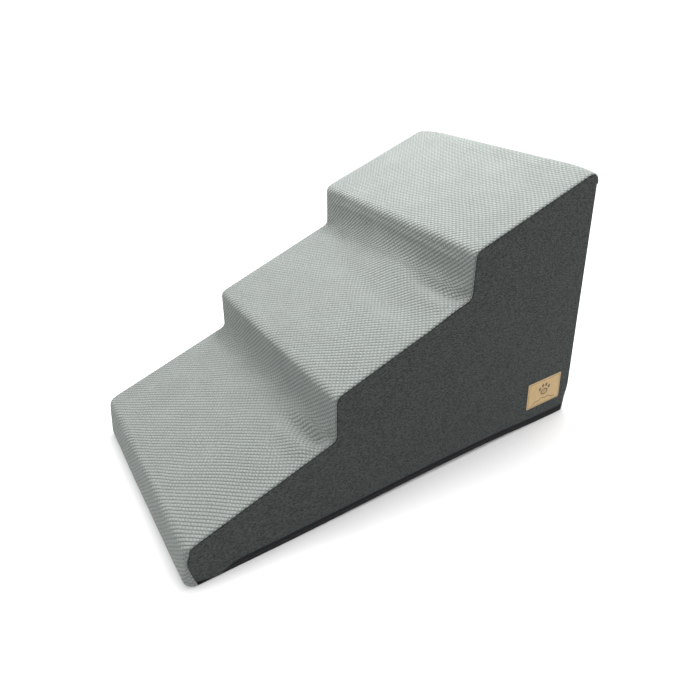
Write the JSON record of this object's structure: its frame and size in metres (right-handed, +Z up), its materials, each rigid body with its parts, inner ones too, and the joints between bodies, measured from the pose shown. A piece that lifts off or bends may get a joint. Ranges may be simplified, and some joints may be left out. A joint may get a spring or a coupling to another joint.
{
  "type": "pet stair",
  "caption": "Foam stair for small dogs with sloping treads and low risers, in a zip-off fabric cover with a knitted top.",
  "frame": {"origin": "middle of the footprint, on the floor", "axes": "+Z up; +X from the low front end to the tall back end; -Y is the right side, which has the label"},
  "size_m": [0.6851, 0.4052, 0.4137],
  "materials": {
    "foam": "matte",
    "knit": "matte",
    "woven": "matte",
    "base_cloth": "matte",
    "zip_tape": "matte",
    "zip_coil": "satin",
    "zip_thread": "matte",
    "zip_metal": "satin",
    "label_leather": "matte",
    "label_thread": "matte"
  },
  "bodies": {
    "stair": {"foam_block_low": "foam", "foam_block_mid": "foam", "foam_block_high": "foam", "top_panel": "knit", "right_side_panel": "woven", "left_side_panel": "woven", "rear_panel": "woven", "base_panel": "base_cloth", "zip_tape_upper": "zip_tape", "zip_tape_lower": "zip_tape", "zip_coil_upper": "zip_coil", "zip_coil_lower": "zip_coil", "zip_end_stitching": "zip_thread", "label": "label_leather", "label_stitching": "label_thread"},
    "slider": {"zip_slider": "zip_metal"},
    "pull": {"zip_pull": "zip_metal"}
  },
  "joints": [
    {"name": "zip_slide", "type": "slide", "parent": "stair", "child": "slider", "axis": [1, 0, 0], "range_m": [0, 0.59]},
    {"name": "pull_swing", "type": "hinge", "parent": "slider", "child": "pull", "pos_m": [-0.2787, 0.202, 0.0073], "axis": [0, 0, 1], "range_deg": [0, 175]}
  ]
}
